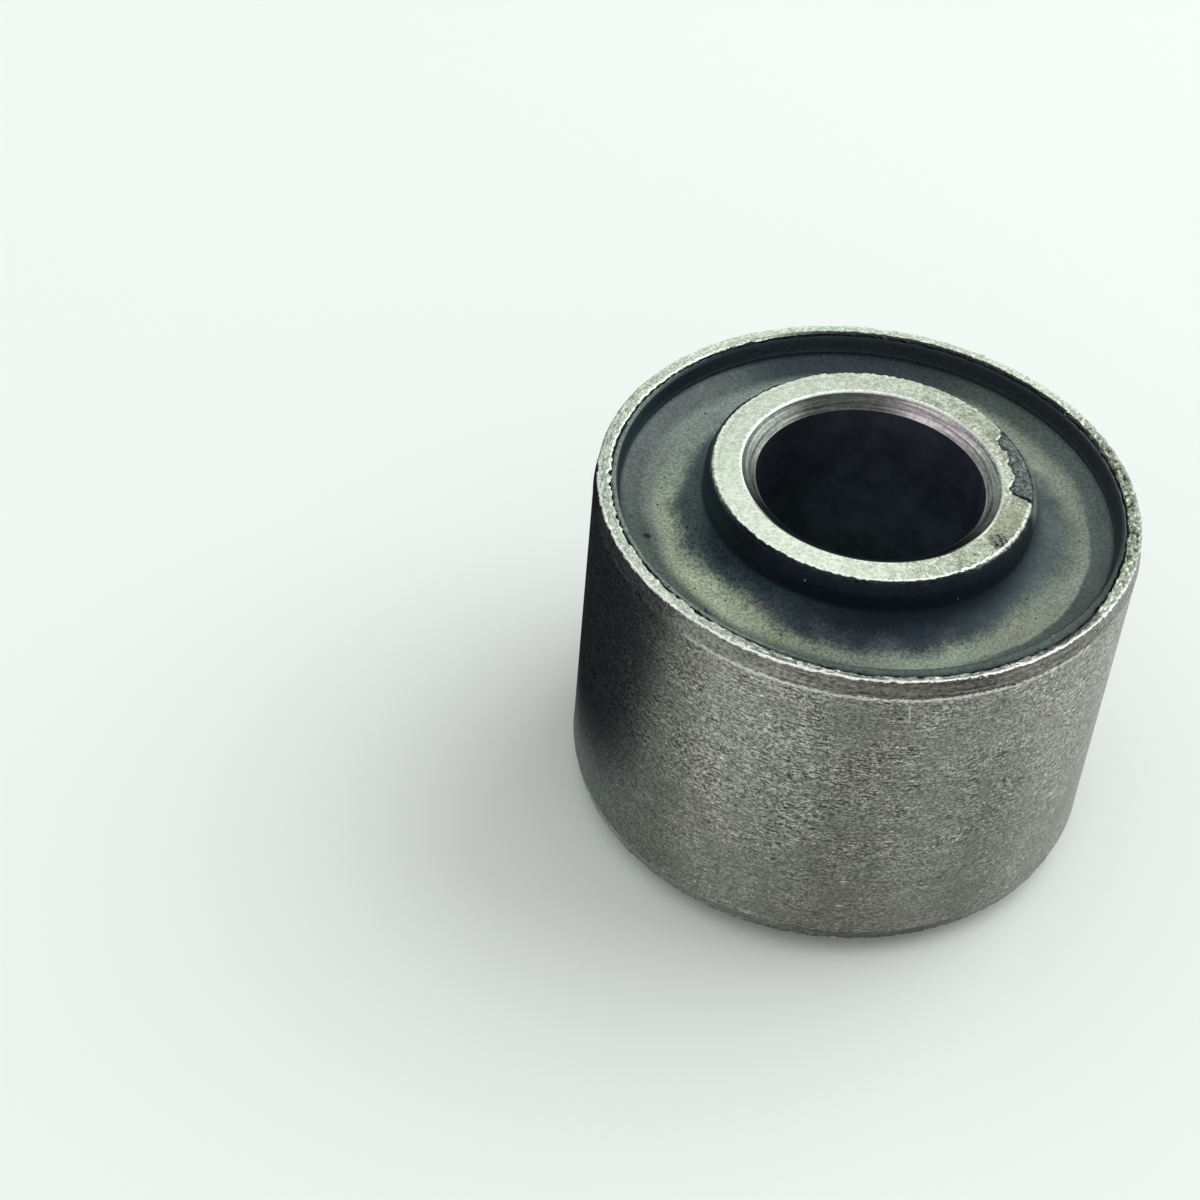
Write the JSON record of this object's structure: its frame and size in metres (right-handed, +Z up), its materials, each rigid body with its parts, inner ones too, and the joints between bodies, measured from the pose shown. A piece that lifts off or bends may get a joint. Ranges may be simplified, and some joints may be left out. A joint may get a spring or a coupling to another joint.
{
  "type": "rubber metal bush",
  "caption": "Short steel sleeve with a longer steel sleeve held inside it by a bonded ring of black rubber, to cushion a bolted pivot or engine mount.",
  "frame": {"origin": "middle of the inner sleeve's lower end, which is the base that the bush stands on", "axes": "+Z up the common axis of both sleeves, X and Y square to it in any direction"},
  "size_m": [0.03, 0.03, 0.0225],
  "materials": {
    "outer_steel": "bare turned and ground steel, dull grey, with fine rings and small pits",
    "inner_steel": "bare steel, blasted pale end faces, turned bore mouths",
    "rubber": "black moulded rubber, dull, with a grey bloom and torn flash at its edges"
  },
  "bodies": {
    "root": {"outer_sleeve": "outer_steel", "inner_sleeve": "inner_steel", "rubber_body": "rubber"}
  },
  "joints": []
}
